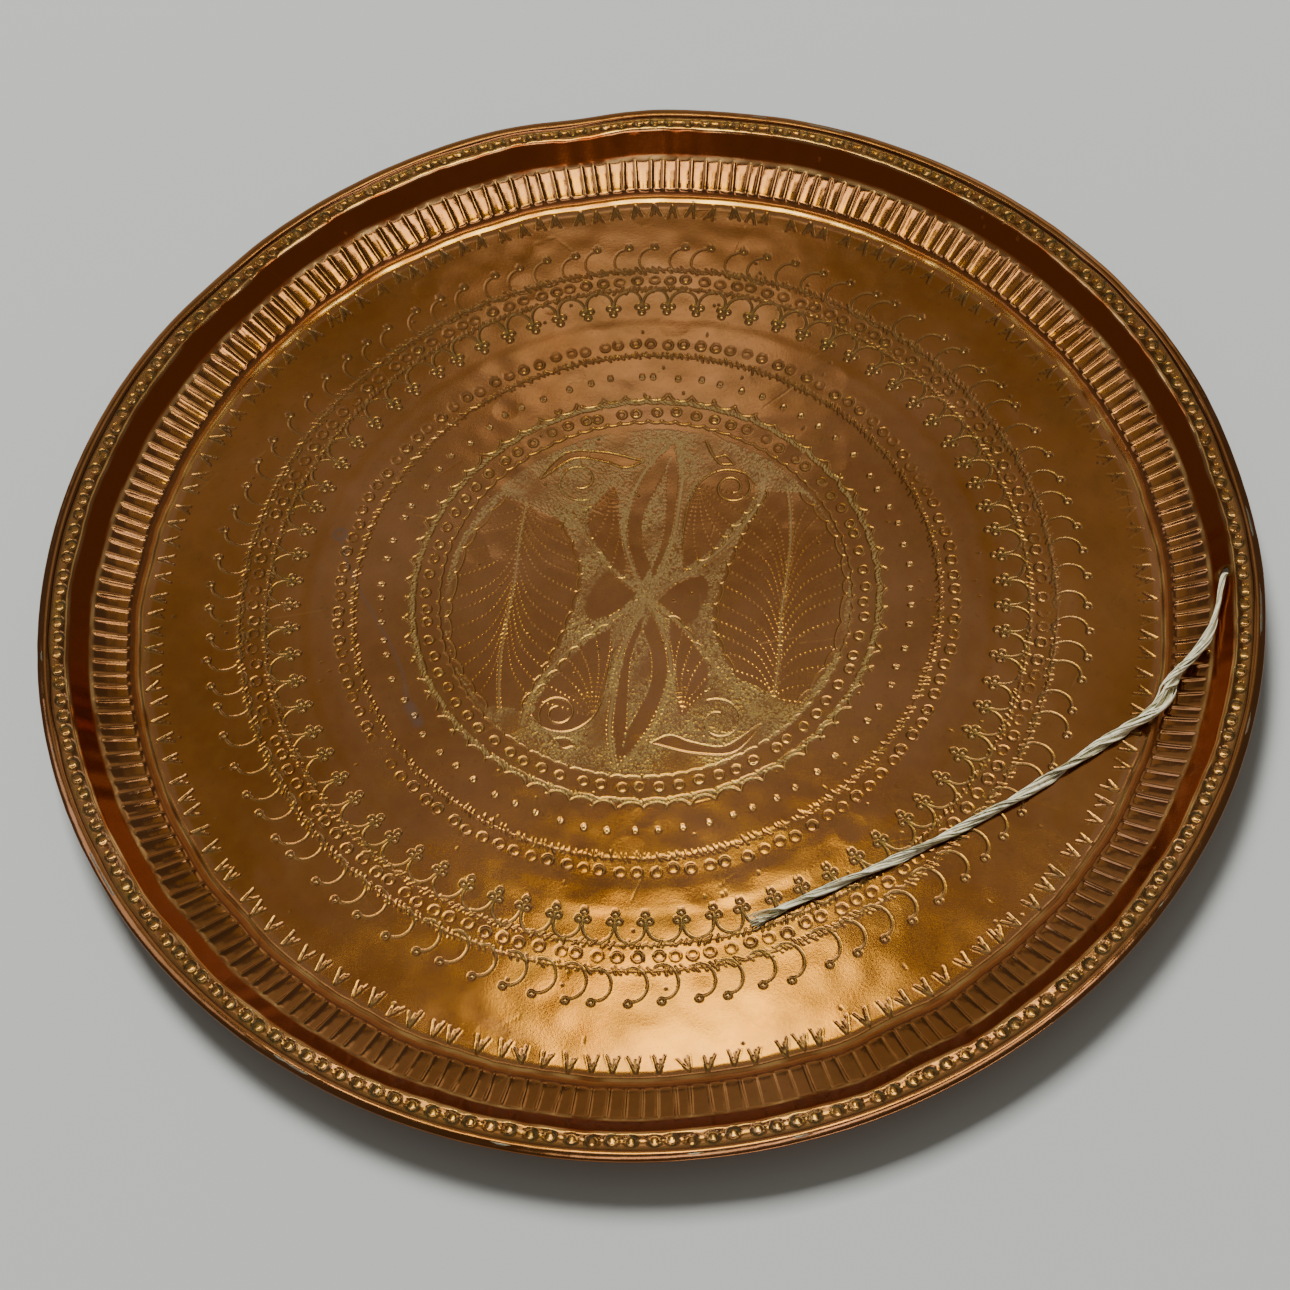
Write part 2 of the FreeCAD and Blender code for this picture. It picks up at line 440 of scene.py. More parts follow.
def fan_of_veins(root, edge, count, lift):
    """Pricked veins from one root to the feet of the arches along an edge."""
    for number in range(count + 1):
        tip = along(edge, number / count)
        middle = 0.5 * (root + tip) + lift * (1.0 - number / count)
        pricked(bent([root, middle, tip], 8), rng.uniform(0.2, 0.55))


def volute(centre, size, start, sweep):
    """A scroll that winds inwards."""
    angle = np.radians(start + np.linspace(0.0, sweep, 50))
    radius = size * np.linspace(1.15, 0.4, 50)
    curve = np.stack([centre[0] + radius * np.cos(angle), centre[1] + radius * np.sin(angle)], 1)
    engraved(curve, 0.9)


def palm_leaf(place):
    """The large side leaf: a pricked midrib with pricked veins that run out to a scalloped edge."""
    midrib = bent(place([(56, -64), (61, -43), (65, -19), (70, 2), (75, 25), (77, 45), (77, 58)]))
    inner = [(38, -50), (32, -30), (31, -16), (36, 0), (43, 17), (50, 30), (57, 42), (66, 56)]
    outer = [(66, -72), (80, -56), (91, -39), (98, -14), (101, 2), (99, 22), (93, 38), (84, 53)]
    inner, outer = bent(place(inner)), bent(place(outer))
    double_pricked(midrib, 1.8)
    scalloped(inner, 11, -2.4)
    scalloped(outer, 11, 2.2)
    rise = midrib[-1] - midrib[0]
    rise /= np.hypot(*rise)
    for edge in (inner, outer):
        for number in range(12):
            share = (number + 0.4) / 12.0
            root, tip = along(midrib, max(0.62 * share - 0.07, 0.0)), along(edge, share)
            climb = np.dot(tip - root, rise)
            middle = root + rise * 0.62 * climb + (tip - root - rise * climb) * 0.34
            pricked(bent([root, middle, tip], 8), rng.uniform(0.15, 0.6))
    return np.vstack([inner, outer[::-1]])


def wide_palmette(place):
    """The fan on the left of the lance leaf, with a scroll at its foot."""
    edge = bent(place([(-19, -15), (-29, -20), (-38, -27), (-44, -35), (-52, -42), (-59, -52)]))
    back = bent(place([(-62, -60), (-56, -68), (-45, -71), (-34, -66), (-27, -55), (-23, -42), (-20, -28)]))
    scalloped(edge, 6, -3.2)
    root = place([(-32, -64)])[0]
    fan_of_veins(root, edge, 6, place([(3, 5)])[0])
    engraved(back, 0.5)
    centre = place([(-49, -60)])[0]
    volute(centre, 8.5, 200.0 if centre[1] < 0 else 20.0, -470.0)
    return np.vstack([edge, back])


def narrow_palmette(place):
    """The fan on the right of the lance leaf, with a large scroll below it."""
    edge = bent(place([(10, -13), (16, -20), (20, -29), (24, -38), (26, -48), (23, -57)]))
    back = bent(place([(14, -67), (10, -68), (9, -55), (10, -38), (9, -22)]))
    scalloped(edge, 5, 2.8)
    root = place([(11, -67)])[0]
    fan_of_veins(root, edge, 5, place([(-4, 3)])[0])
    centre = place([(28, -74)])[0]
    volute(centre, 11.0, 110.0 if centre[1] < 0 else 290.0, -400.0)
    return np.vstack([edge, back])


def lance_leaf(place):
    """The long narrow leaf between the fans, with a pricked spear inside. Gives the halves beside it."""
    right = bent(place([(2, -8), (6, -24), (6, -40), (3, -55), (-7, -75), (-22, -91)]))
    left = bent(place([(-2, -8), (-11, -24), (-17, -42), (-21, -60), (-23, -78), (-22, -91)]))
    spear_right = bent(place([(-4, -17), (-1, -34), (-4, -52), (-17, -75)]))
    spear_left = bent(place([(-4, -17), (-11, -34), (-14, -52), (-17, -75)]))
    for curve in (spear_right, spear_left):
        pricked(curve, 0.6)
    return np.vstack([right, spear_right[::-1]]), np.vstack([left, spear_left[::-1]])


def arms(place):
    """The double lines that run out from the middle, four to each half."""
    lines = [
        ([(0, 0), (-17, -9), (-36, -21), (-52, -36), (-62, -50), (-67, -64)], 3.2),
        ([(0, 0), (11, -12), (20, -26), (28, -41), (35, -55)], 2.4),
        ([(0, 0), (-8, -14), (-16, -32), (-21, -52), (-25, -74), (-24, -94)], 3.0),
        ([(0, 0), (5, -16), (8, -34), (6, -52), (-6, -76), (-23, -95)], 3.0),
    ]
    for points, apart in lines:
        double_pricked(bent(place(points)), apart)


def small_leaves(place):
    """Plain little leaves in the ground near the border."""
    outlines = [
        [(-52, -74), (-44, -76), (-39, -90), (-42, -80), (-48, -80), (-52, -74)],
        [(-6, -82), (4, -79), (14, -84), (30, -88), (48, -78), (34, -92), (14, -90), (-6, -82)],
    ]
    leaves = [bent(place(outline), 6) for outline in outlines]
    for leaf in leaves:
        engraved(leaf, 0.5)
    return leaves


def side_field(place):
    """The plain triangle beside the middle."""
    return bent(place([(5, -2), (17, 7), (29, 9), (31, 1), (27, -8), (19, -18), (9, -9), (5, -2)]), 6)


def inside(polygon, x, y):
    """True where x, y lie within the closed polygon."""
    hit = np.zeros(x.shape, bool)
    for (ax, ay), (bx, by) in zip(polygon, np.roll(polygon, -1, axis=0)):
        if ay != by:
            hit ^= ((ay > y) != (by > y)) & (x < (bx - ax) * (y - ay) / (by - ay) + ax)
    return hit


def ground(leaves):
    """The stippled ground between the medallion's leaves."""
    grid = np.arange(-102.0, 102.0, 2.0 * plate.STEP)
    x, y = (side.ravel() for side in np.meshgrid(grid, grid))
    free = np.hypot(x, y) < MEDALLION_RADIUS
    for leaf in leaves:
        free &= ~inside(leaf[::2], x, y)
    x, y = x[free], y[free]
    worked = np.clip(0.7 + 0.6 * waves(x, y, 14.0, 60.0, 14), 0.15, 1.0)
    picks = rng.integers(0, len(x), 17000)
    strength = worked[picks] * rng.uniform(0.35, 1.0, len(picks))
    plate.dabs(x[picks], y[picks], 0.7, matt=strength)
    plate.dabs(x[picks], y[picks], CHISEL, cut=0.12 * strength, soot=0.25 * strength)


def medallion():
    """All of the central medallion. Its upper half is the lower half turned half a turn."""
    leaves = []
    for sign in (1.0, -1.0):
        def place(points):
            return np.asarray(points, float) * sign
        leaves += [palm_leaf(place), wide_palmette(place), narrow_palmette(place), side_field(place)]
        leaves += lance_leaf(place)
        leaves += small_leaves(place)
        arms(place)
    ground(leaves)
    cusped_ring(*MEDALLION_EDGE, 1.2, cut=0.18, soot=0.2, shine=0.3)


def scratches_and_dents():
    """Stray scratches, pits and soft dents from long use."""
    for _ in range(80):
        start = rng.uniform(-250.0, 250.0, 2)
        heading = rng.uniform(0.0, 2.0 * math.pi)
        end = start + rng.uniform(4.0, 26.0) * np.array([math.cos(heading), math.sin(heading)])
        plate.line([start, end], 0.45, cut=0.04, shine=rng.uniform(0.03, 0.16))
    x, y = rng.uniform(-260.0, 260.0, (2, 240))
    plate.dabs(x, y, 0.8, cut=0.14, soot=0.8)
    for _ in range(90):
        radius = rng.uniform(60.0, 250.0)
        azimuth = rng.uniform(0.0, 2.0 * math.pi)
        plate.dabs(radius * math.cos(azimuth), radius * math.sin(azimuth), rng.uniform(5.0, 13.0),
                   cut=rng.uniform(0.03, 0.09))


def hole_smudge():
    """Dark metal round the string's hole."""
    plate.dabs(*Spot(HOLE_RADIUS / RIM, HOLE_DEGREES, centred=False).centre, 4.4, soot=0.9)


def stain():
    """The grey-blue streak on the floor at the left."""
    streak = bent([(-152, 57), (-146, 30), (-126, -20), (-122, -44), (-117, -58)])
    plate.line(streak[:30], 1.0, stain=0.6)
    plate.line(streak[26:34], 2.2, stain=0.5)
    plate.line(streak[32:], 3.6, stain=0.8)
    plate.ring((-152.0, 57.0), 3.0, 1.6, stain=0.9)


def engrave_all():
    """Every mark on the sheet, from the rim inwards."""
    flange_punches()
    arrow_marks()
    hooks()
    rope(OUTER_ROPE, 3.6, 0.7)
    crescents(OUTER_CRESCENTS, 2.5)
    rope(MIDDLE_ROPE, 3.0, -0.7)
    arches_and_trefoils()
    crescents(INNER_CRESCENTS, 2.4)
    rope(INNER_ROPE, 3.2, 0.8, soot=0.45)
    spaced_dots()
    wavy_border()
    border_circles()
    medallion()
    scratches_and_dents()
    stain()
    hole_smudge()
    plate.spread("soot", "patina", 2.2)


# ---- relief of the sheet ----
def section_height(radius):
    """Height of the upper surface, with its bends rounded."""
    radii, heights = np.array(SECTION).T
    total = np.zeros_like(radius)
    offsets = np.linspace(-1.0, 1.0, 7)
    for offset in offsets:
        total += np.interp(radius + offset, radii, heights)
    return total / len(offsets)


def flute_relief(radius, azimuth):
    """Wide hollow flutes between narrow arrises, hand-spaced and slightly tilted."""
    pitch = 2.0 * math.pi / FLUTES
    ridges = np.arange(FLUTES) * pitch + rng.normal(0.0, 0.06 * pitch, FLUTES)
    tilts = rng.normal(0.0, 0.045 * pitch, FLUTES)
    depths = rng.uniform(0.75, 1.15, FLUTES)
    along = np.clip((radius - FLUTES_IN) / (FLUTES_OUT - FLUTES_IN), 0.0, 1.0) - 0.5
    turn = azimuth % (2.0 * math.pi)
    nearest = np.round(turn / pitch).astype(int)
    best = np.full(radius.shape, 9.0)
    for step in (-1, 0, 1):
        index = (nearest + step) % FLUTES
        away = turn - ridges[index] - tilts[index] * along * 2.0
        away = (away + math.pi) % (2.0 * math.pi) - math.pi
        best = np.minimum(best, np.abs(away) / pitch)
    arris = np.clip(1.0 - 2.0 * best, 0.0, 1.0)
    ends = band(FLUTES_IN + 1.4, FLUTES_OUT - 1.4, 1.4, radius)
    depth = depths[nearest % FLUTES]
    return ends * depth * (0.25 * arris ** 2 + 0.9 * arris ** 6 - 0.28), ends * smooth(0.84, 0.97, arris)


def far_push(azimuth):
    """How much further out the wall's top stands on the far side, in mm."""
    return 2.6 * hump(np.degrees(azimuth), 88.0, 34.0)


def leaning(radius):
    """Share of the far side's push, which grows evenly up the wall and dies out on the flange."""
    return np.clip((radius - FLUTES_OUT) / 12.0, 0.0, 1.0) * (1.0 - smooth(289.5, 293.0, radius))


def rim_share(radius):
    """Share of the rim's dents that reaches a radius."""
    return smooth(262.0, 292.0, radius)


def bend_shift(radius, around_facts, places):
    """How far out the hammered bends stray at a radius, in mm, at some places round the tray."""
    return (around_facts["crease"][places] * band(246.0, 286.0, 6.0, radius)
            + around_facts["push"][places] * leaning(radius))


def crease_wander(azimuth):
    """How far the hammered bends stray from true circles, in mm."""
    broad = 0.4 * ring_waves(azimuth, 2, 6, 5) + 0.55 * ring_waves(azimuth, 5, 40, 14)
    return broad + 0.12 * ring_waves(azimuth, 50, 150, 20)


# Dents in the rim: azimuth and width in degrees, then how far down and how far in, in mm.
RIM_DENTS = [
    (92.0, 5.5, 2.0, 1.2), (77.0, 7.0, 0.6, 0.5), (4.0, 8.0, 0.6, 1.0), (135.0, 6.0, 0.5, 0.8),
    (205.0, 8.0, 0.3, 0.3), (268.0, 7.0, 0.5, 0.3), (318.0, 9.0, 0.5, 0.4),
]


def rim_dents(azimuth):
    """How far the rim is down and in round the tray, in mm, never outside its true circle."""
    down = 0.2 + 0.3 * np.clip(ring_waves(azimuth, 2, 9, 8) + 0.4, 0.0, 2.0)
    inward = 0.05 + 0.15 * np.clip(ring_waves(azimuth, 2, 12, 9) + 0.4, 0.0, 2.0)
    degrees = np.degrees(azimuth)
    for centre, width, drop, push in RIM_DENTS:
        shape = hump(degrees, centre, width)
        down += drop * shape
        inward += push * shape
    return down, inward


def hammering(x, y, radius):
    """The planished surface: soft hollows of about 0.2 mm, always above the lowest level."""
    broad = waves(x, y, 34.0, 80.0, 22)
    close = waves(x, y, 13.0, 28.0, 26)
    floor = 0.17 + 0.07 * broad + 0.045 * close
    step = 0.1 * band(0.535 * RIM, 0.56 * RIM, 7.0, radius)
    return np.clip(floor, 0.0, 0.34) * (1.0 - smooth(258.0, 262.0, radius)) + step


def wall_ripple(azimuth, radius):
    """Upright ripples in the wall."""
    ripple = 0.1 * ring_waves(azimuth, 40, 170, 20)
    return ripple * band(FLUTES_OUT, FLANGE_IN, 2.0, radius)


# ---- the tray's mesh ----
# Rows of the upper surface: outer radius of each zone, spacing of its rows and points in each row.
ZONES = [
    (3.0, 0.75, 45), (7.0, 0.7, 90), (15.0, 0.6, 180), (30.0, 0.5, 360), (60.0, 0.46, 720),
    (124.0, 0.46, 1440), (130.0, 0.9, FINE), (135.0, 0.5, FINE), (143.0, 1.0, FINE),
    (159.0, 0.5, FINE), (171.0, 1.0, FINE), (216.5, 0.5, FINE), (222.0, 0.5, FINE), (238.0, 1.2, FINE),
    (252.0, 0.5, FINE), (261.0, 0.45, FINE), (276.0, 0.8, FINE), (284.0, 0.8, FINE), (293.2, 0.42, FINE),
]


def upper_rows():
    """Radius and point count of each row on the upper surface."""
    rows = []
    start = 0.0
    for end, spacing, count in ZONES:
        steps = max(int(round((end - start) / spacing)), 1)
        for radius in np.linspace(start, end, steps + 1)[1:]:
            rows.append((radius, count))
        start = end
    return rows


def bead_rows():
    """Radius, height and outward heading of each row round the flattened edge, lip to underside."""
    rows = []
    for degrees in np.linspace(LIP_ANGLE, BEAD_LAST_ANGLE, 30):
        angle = math.radians(degrees)
        across, above = math.cos(angle), math.sin(angle)
        tall = above ** 0.75 * (0.6 - 0.16 * across) if above > 0.0 else above
        rows.append((BEAD_RADIUS + BEAD_THICK * across, BEAD_HEIGHT + BEAD_THICK * tall,
                     (across, above), degrees))
    return rows


def lip_wander(azimuth):
    """The raw lip of the rolled edge is uneven: how far it reaches in, in mm."""
    return 0.55 * ring_waves(azimuth, 8, 60, 18) + 0.5 * ring_waves(azimuth, 2, 9, 6)


# The string's hole through the wall, and the radii of the rows round it on both sides of the sheet.
HOLE_RADIUS, HOLE_DEGREES, HOLE_HALF = 282.0, -6.4, 2.9
HOLE_ROWS = [279.2, 280.0, 280.8, 281.6, 282.4, 283.2, 284.0]
WALL_SLOPE = math.atan2(11.6, 9.6)
LOWER_RADII = [293.0, 289.0, 286.5] + HOLE_ROWS[::-1] + [
    276.5, 273.0, 268.0, 263.0, 260.0, 257.5, 255.0, 252.0, 247.0, 240.0, 230.0, 215.0, 195.0, 170.0,
    140.0, 110.0, 80.0, 50.0, 30.0]


def azimuths(count):
    """Even azimuths round the tray, in radians."""
    return np.arange(count) * (2.0 * math.pi / count)


class Rows:
    """Collects rings of points, joins neighbours with faces, and keeps each point's attributes."""
    NAMES = ("soot", "shine", "matt", "wall", "ridge", "patina", "stain")

    def __init__(self):
        self.points = []
        self.facts = {name: [] for name in self.NAMES}
        self.counts = []
        self.starts = []
        self.hole_rows = []
        self.total = 0

    def add(self, xyz, **facts):
        """One more ring, with the attributes that aren't zero on it."""
        count = len(xyz)
        self.points.append(xyz)
        for name in self.NAMES:
            self.facts[name].append(np.broadcast_to(np.asarray(facts.get(name, 0.0), float), (count,)))
        self.counts.append(count)
        self.starts.append(self.total)
        self.total += count

    def faces(self):
        """Quads between rings of equal count, and triangles where the count changes."""
        quads, triangles = [], []
        pairs = zip(self.starts, self.counts, self.starts[1:], self.counts[1:])
        for start, count, next_start, next_count in pairs:
            if count == next_count:
                here = np.arange(count)
                after = (here + 1) % count
                quads.append(np.stack([start + here, next_start + here, next_start + after,
                                       start + after], 1))
            elif next_count > count:
                triangles.append(stitched(start, count, next_start, next_count // count))
            else:
                inward = stitched(next_start, next_count, start, count // next_count)
                triangles.append(inward[:, ::-1])
        return np.vstack(quads), np.vstack(triangles)


def stitched(coarse, few, fine, ratio):
    """Triangles between a coarse ring and one with a whole number of times its points."""
    here = np.arange(few)
    after = (here + 1) % few
    middle = ratio // 2
    faces = []
    for step in range(ratio):
        tip = here if step < middle else after
        a, b = ratio * here + step, (ratio * here + step + 1) % (ratio * few)
        faces.append(np.stack([coarse + tip, fine + a, fine + b], 1))
    faces.append(np.stack([coarse + here, fine + ratio * here + middle, coarse + after], 1))
    return np.vstack(faces)


def fan(centre, start, count, flip):
    """Triangles from a centre point to a ring."""
    here = np.arange(count)
    after = (here + 1) % count
    faces = np.stack([np.full(count, centre), start + here, start + after], 1)
    return faces[:, ::-1] if flip else faces


def mesh_from(name, points, quads, triangles):
    """A smooth-shaded mesh, in metres, from arrays in mm."""
    mesh = bpy.data.meshes.new(name)
    corners = np.concatenate([quads.ravel(), triangles.ravel()]).astype(np.int32)
    sizes = np.concatenate([np.full(len(quads), 4), np.full(len(triangles), 3)]).astype(np.int32)
    starts = np.concatenate([[0], np.cumsum(sizes)[:-1]]).astype(np.int32)
    mesh.vertices.add(len(points))
    mesh.vertices.foreach_set("co", (points * MM).astype(np.float32).ravel())
    mesh.loops.add(len(corners))
    mesh.loops.foreach_set("vertex_index", corners)
    mesh.polygons.add(len(sizes))
    mesh.polygons.foreach_set("loop_start", starts)
    mesh.polygons.foreach_set("loop_total", sizes)
    mesh.polygons.foreach_set("use_smooth", np.ones(len(sizes), bool))
    mesh.update(calc_edges=True)
    mesh.validate()
    return mesh


def store(mesh, name, values):
    """Keeps one number per point, for the material."""
    attribute = mesh.attributes.new(name, "FLOAT", "POINT")
    attribute.data.foreach_set("value", np.asarray(values, np.float32))


def add_object(name, data):
    """A new object in the scene."""
    piece = bpy.data.objects.new(name, data)
    bpy.context.scene.collection.objects.link(piece)
    return piece


def add_piece(name, mesh, node):
    """A piece of the tray that replaces a CAD node."""
    piece = add_object(name, mesh)
    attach(piece, "root")
    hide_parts(node)
    return piece


def ring_points(radius, height, azimuth):
    """Points at some radii, heights and azimuths."""
    return np.stack([radius * np.cos(azimuth), radius * np.sin(azimuth), height], 1)


def shared_round_facts():
    """Variation round the rim, worked out once at the finest spacing and thinned for coarser rows."""
    fine = azimuths(FINE)
    down, inward = rim_dents(fine)
    return {"down": down, "inward": inward, "crease": crease_wander(fine), "lip": lip_wander(fine),
            "push": far_push(fine),
            # how strong the painted highlights on the crests are round the tray
            "glint": np.clip(0.5 + 0.7 * ring_waves(fine, 3, 90, 30), 0.0, 1.0)}


def upper_grid():
    """Row number, radius and azimuth of every point on the upper surface."""
    radii, counts = zip(*upper_rows())
    owner = np.repeat(np.arange(len(counts)), counts)
    azimuth = np.concatenate([azimuths(count) for count in counts])
    return owner, np.repeat(radii, counts), azimuth


def bend_tones(bend_radius, glint):
    """Painted shade in the groove and at the wall's foot, painted highlights on the crests, and the wall's
    own tone.
    """
    groove = band(FLOOR_EDGE + 1.0, FLUTES_IN, 0.8, bend_radius)
    foot = band(FLUTES_OUT - 0.8, FLUTES_OUT + 0.6, 0.8, bend_radius)
    # painted highlight lines on the floor's edge, the flutes' outer end and the flange's inner bend
    crests = [(FLOOR_EDGE, 0.7), (FLUTES_OUT, 0.5), (FLANGE_IN, 0.7)]
    crest = sum(band(place - width, place + width, 0.5, bend_radius) for place, width in crests)
    wall = np.maximum(band(FLUTES_OUT + 0.6, FLANGE_IN - 0.6, 0.9, bend_radius), 0.55 * groove)
    return np.maximum(0.3 * groove, 0.35 * foot), crest * 0.8 * glint, wall


def upper_surface(rows, around_facts):
    """The engraved upper side of the sheet."""
    owner, radius, azimuth = upper_grid()
    x, y = radius * np.cos(azimuth), radius * np.sin(azimuth)
    places = np.round(azimuth / (2.0 * math.pi) * FINE).astype(int) % FINE
    bend_radius = radius - bend_shift(radius, around_facts, places)
    height = section_height(bend_radius) - around_facts["down"][places] * rim_share(radius)
    height += hammering(x, y, radius)
    flutes, ridge = flute_relief(radius, azimuth)
    height += flutes + wall_ripple(azimuth, radius)
    marks = {name: plate.sample(name, x, y) for name in plate.layers}
    lip_shadow = smooth(LIP_SHADOW, FLANGE_OUT, radius)
    height += np.clip(marks["bulge"] - 1.3 * marks["cut"], -1.0, 1.0) * (1.0 - lip_shadow)
    dark, bright, wall = bend_tones(bend_radius, around_facts["glint"][places])
    facts = {name: marks[name] for name in ("matt", "patina", "stain")}
    # the dark layer: the engraving's dirt plus painted shade in the groove, at the wall's foot and under
    # the lip
    facts["soot"] = np.maximum.reduce([marks["soot"], dark, 0.35 * lip_shadow])
    # painted highlights on the crests join the burnished metal of the marks
    facts["shine"] = np.maximum(marks["shine"], bright)
    facts["wall"] = wall
    facts["ridge"] = ridge
    shrink = 1.0 - around_facts["inward"][places] * rim_share(radius) / RIM
    points = np.stack([x * shrink, y * shrink, height], 1)
    for index, (row_radius, count) in enumerate(upper_rows()):
        mine = slice(*np.searchsorted(owner, [index, index + 1]))
        if round(row_radius, 1) in HOLE_ROWS and count == FINE:
            rows.hole_rows.append(rows.total)
        rows.add(points[mine], **{name: values[mine] for name, values in facts.items()})


def rolled_edge(rows, around_facts):
    """The bead of the rolled edge, from its raw lip on the flange over the wire to its underside."""
    azimuth = azimuths(FINE)
    down, inward = around_facts["down"], around_facts["inward"]
    lip = around_facts["lip"]
    dents = 0.05 * ring_waves(azimuth, 30, 160, 26) + 0.2 * ring_waves(azimuth, 8, 30, 10)
    for radius, height, normal, degrees in bead_rows():
        near_lip = smooth(150.0, LIP_ANGLE, degrees)
        swell = -np.abs(dents) * (1.0 - near_lip) - 0.12 * (1.0 - near_lip)
        r = radius - inward + normal[0] * swell + lip * near_lip
        z = height - down + normal[1] * swell
        # painted shade on the bead where its raw lip lies on the flange
        at_edge = smooth(185.0, LIP_ANGLE, degrees)
        count = FINE if degrees > 0.0 else FINE // 2 if degrees > -50.0 else FINE // 4
        thin = slice(None, None, FINE // count)
        rows.add(ring_points(r[thin], z[thin], azimuth[thin]), soot=0.4 * at_edge)


def underside(rows, around_facts):
    """The plain lower side, one sheet thickness below the upper one."""
    for radius in LOWER_RADII:
        count = FINE if radius in HOLE_ROWS else 720 if radius > 100.0 else 360 if radius > 60.0 else 90
        thin = slice(None, None, FINE // count)
        if radius in HOLE_ROWS:
            rows.hole_rows.append(rows.total)
        shift = bend_shift(radius, around_facts, thin)
        down, inward = (around_facts[name][thin] * rim_share(radius) for name in ("down", "inward"))
        here = section_height(radius - shift)
        slope = section_height(radius + 0.5 - shift) - section_height(radius - 0.5 - shift)
        height = np.maximum(here - SHEET * np.sqrt(1.0 + slope ** 2) - down, 0.0)
        rows.add(ring_points(radius - inward, height, azimuths(count)), wall=0.25)


def any_of_four(marks):
    """True for each square of four neighbours of which at least one is marked."""
    return marks[:-1, :-1] | marks[1:, :-1] | marks[:-1, 1:] | marks[1:, 1:]


def hole_lining(opened, upper, lower):
    """Faces between the two sides of the sheet, along every edge of the opened squares."""
    corners = [(0, 0), (1, 0), (1, 1), (0, 1)]
    neighbours = [(0, -1), (1, 0), (0, 1), (-1, 0)]
    padded = np.pad(opened, 1)
    faces = []
    for level, column in np.argwhere(opened):
        for number, (up, over) in enumerate(neighbours):
            if not padded[level + 1 + up, column + 1 + over]:
                first, last = corners[number], corners[(number + 1) % 4]
                a, b = (level + first[0], column + first[1]), (level + last[0], column + last[1])
                faces.append([upper[a], upper[b], lower[b], lower[a]])
    return faces


def drill_hole(rows, points, quads):
    """Opens the string's hole through both sides of the sheet and lines it."""
    turn = math.radians(HOLE_DEGREES)
    pitch = 2.0 * math.pi / FINE
    steps = np.arange(-8, 9) + round(turn / pitch)
    levels = len(HOLE_ROWS)
    upper = np.array(rows.hole_rows[:levels])[:, None] + steps % FINE
    lower = np.array(rows.hole_rows[levels:][::-1])[:, None] + steps % FINE
    half_out = HOLE_HALF * math.cos(WALL_SLOPE)
    aside, out = np.meshgrid((steps * pitch - turn) * HOLE_RADIUS / HOLE_HALF,
                             (np.array(HOLE_ROWS) - HOLE_RADIUS) / half_out)
    away = np.hypot(aside, out)
    inside = away < 1.0
    opened = any_of_four(inside)
    edge = any_of_four(np.pad(opened, 1)) & ~inside
    azimuth = turn + (aside / away)[edge] * HOLE_HALF / HOLE_RADIUS
    for grid, shift in ((upper, 0.0), (lower, SHEET * math.sin(WALL_SLOPE))):
        move = ((out / away - out) * half_out + shift)[edge]
        old = points[grid[edge]]
        points[grid[edge]] = ring_points(np.hypot(old[:, 0], old[:, 1]) + move,
                                         old[:, 2] + move * math.tan(WALL_SLOPE), azimuth)
    dropped = np.zeros(len(points), bool)
    dropped[upper[inside]] = True
    dropped[lower[inside]] = True
    lining = hole_lining(opened, upper, lower)
    return np.vstack([quads[~dropped[quads].any(axis=1)], lining]), dropped


def build_rim_wire(around_facts):
    """The wire inside the rolled edge, which follows the rim's dents."""
    azimuth = azimuths(720)
    down, inward = around_facts["down"][::4], around_facts["inward"][::4]
    rings = []
    for angle in azimuths(12):
        rings.append(ring_points(BEAD_RADIUS - inward + WIRE_RADIUS * math.cos(angle),
                                 BEAD_HEIGHT - down + WIRE_RADIUS * math.sin(angle), azimuth))
    grid = np.arange(12 * 720).reshape(12, 720)
    next_ring, next_step = np.roll(grid, -1, axis=0), np.roll(grid, -1, axis=1)
    quads = np.stack([grid, next_step, np.roll(next_ring, -1, axis=1), next_ring], -1).reshape(-1, 4)
    mesh = mesh_from("edge_wire", np.vstack(rings), quads, np.empty((0, 3), int))
    return add_piece("edge_wire", mesh, "rim_wire")


def build_tray(around_facts):
    """The whole sheet as one closed mesh that replaces the plain CAD solid."""
    engrave_all()
    rows = Rows()
    upper_surface(rows, around_facts)
    rolled_edge(rows, around_facts)
    underside(rows, around_facts)
    quads, triangles = rows.faces()
    points = np.vstack(rows.points)
    quads, dropped = drill_hole(rows, points, quads)
    top, bottom = len(points), len(points) + 1
    points = np.vstack([points, [[0.0, 0.0, points[0, 2]], [0.0, 0.0, 0.0]]])
    caps = [fan(top, rows.starts[0], rows.counts[0], False),
            fan(bottom, rows.starts[-1], rows.counts[-1], True)]
    kept = ~np.concatenate([dropped, [False, False]])
    number = np.cumsum(kept) - 1
    mesh = mesh_from("tray_sheet", points[kept], number[quads], number[np.vstack([triangles] + caps)])
    for name in Rows.NAMES:
        store(mesh, name, np.concatenate(rows.facts[name] + [np.zeros(2)])[kept])
    return add_piece("tray_sheet", mesh, "tray_body")


# ---- the string ----
CORD_DIAMETER = 4.5          # mm
CORD_STEP = 0.0008           # metres between the rings of a fibre
FIBRES_IN_PLY = 9
# Thickness of the string: share of its length, then share of its diameter.
CORD_WIDTHS = [
    (0.0, 0.5), (0.07, 0.75), (0.15, 1.05), (0.22, 1.4), (0.42, 1.1), (0.8, 0.86), (0.93, 0.76),
    (1.0, 0.62),
]
KNOT_SIZE = 0.00112          # a third of the knot's half width without its string, in metres
KNOT_STRING = 0.0017         # radius of the tightened string in the knot, in metres
